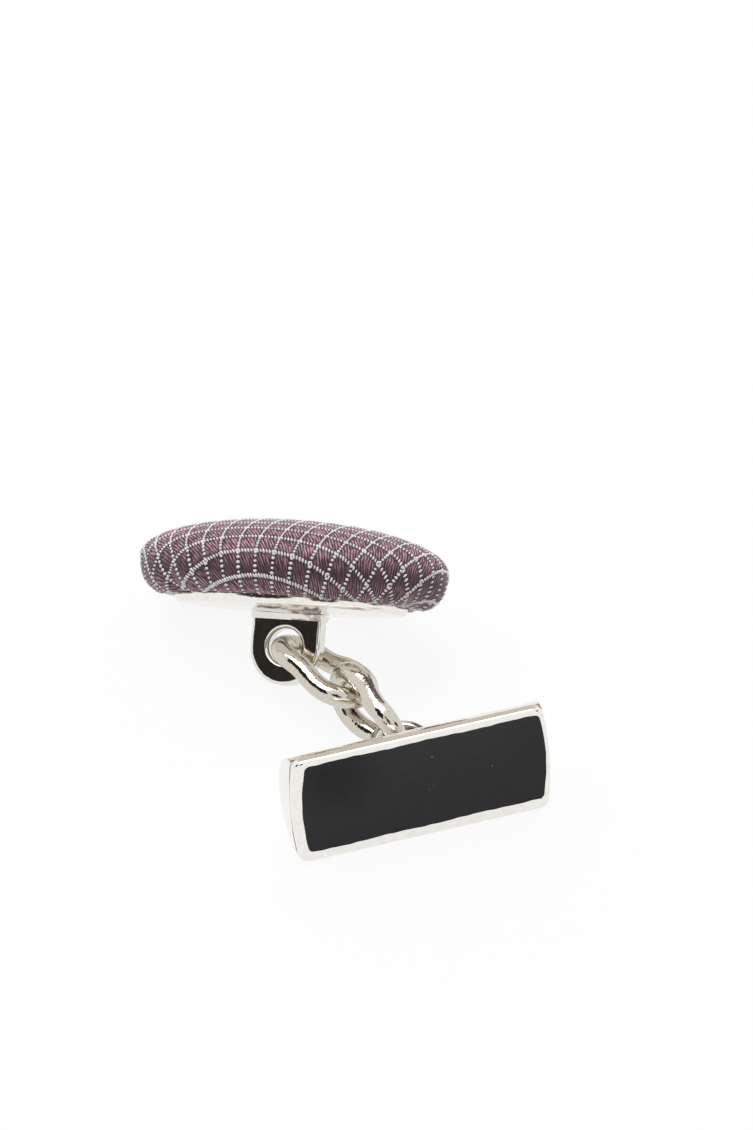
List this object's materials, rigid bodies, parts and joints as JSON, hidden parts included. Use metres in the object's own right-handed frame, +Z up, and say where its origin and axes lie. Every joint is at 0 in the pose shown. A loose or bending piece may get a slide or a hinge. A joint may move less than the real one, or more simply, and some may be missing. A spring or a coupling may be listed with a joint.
{
  "type": "chain-link cufflink",
  "caption": "Chain-link cufflink: an oval padded silk-covered head joined by twisted wire links to an enamelled bar that turns to pass a buttonhole.",
  "frame": {"origin": "on the table under the middle of the box round the whole cufflink as it lies", "axes": "+Z up from the table, +X to the right along the head's length as seen from the bar's front, +Y away from the viewer"},
  "size_m": [0.0264, 0.0254, 0.0122],
  "materials": {
    "silk": "woven silk, satin",
    "wadding": "matt",
    "former_steel": "plain",
    "polished_plate": "polished",
    "polished_lug": "polished",
    "polished_wire": "polished",
    "polished_bar": "polished",
    "black_enamel": "satin gloss"
  },
  "bodies": {
    "head": {"silk_cover": "silk", "wadding": "wadding", "former": "former_steel", "back_plate": "polished_plate", "head_lug": "polished_lug"},
    "upper_link": {"upper_chain_link": "polished_wire"},
    "lower_link": {"lower_chain_link": "polished_wire"},
    "bar": {"bar_tray": "polished_bar", "bar_back": "polished_bar", "enamel_inlay": "black_enamel", "bar_eye": "polished_lug"}
  },
  "joints": [
    {"name": "upper_link_swing", "type": "hinge", "parent": "head", "child": "upper_link", "pos_m": [-0.00369, 0.0033, 0.00303], "axis": [0.352, 0.5621, -0.7484], "range_deg": [-15, 65]},
    {"name": "lower_link_swing", "type": "hinge", "parent": "upper_link", "child": "lower_link", "pos_m": [-0.00031, 0.00034, 0.00294], "axis": [0.1016, 0.064, 0.9928], "range_deg": [-20, 40]},
    {"name": "bar_swing", "type": "hinge", "parent": "lower_link", "child": "bar", "pos_m": [0.00358, -0.0051, 0.00289], "axis": [-0.0608, 0.1988, 0.9781], "range_deg": [-50, 40]}
  ]
}
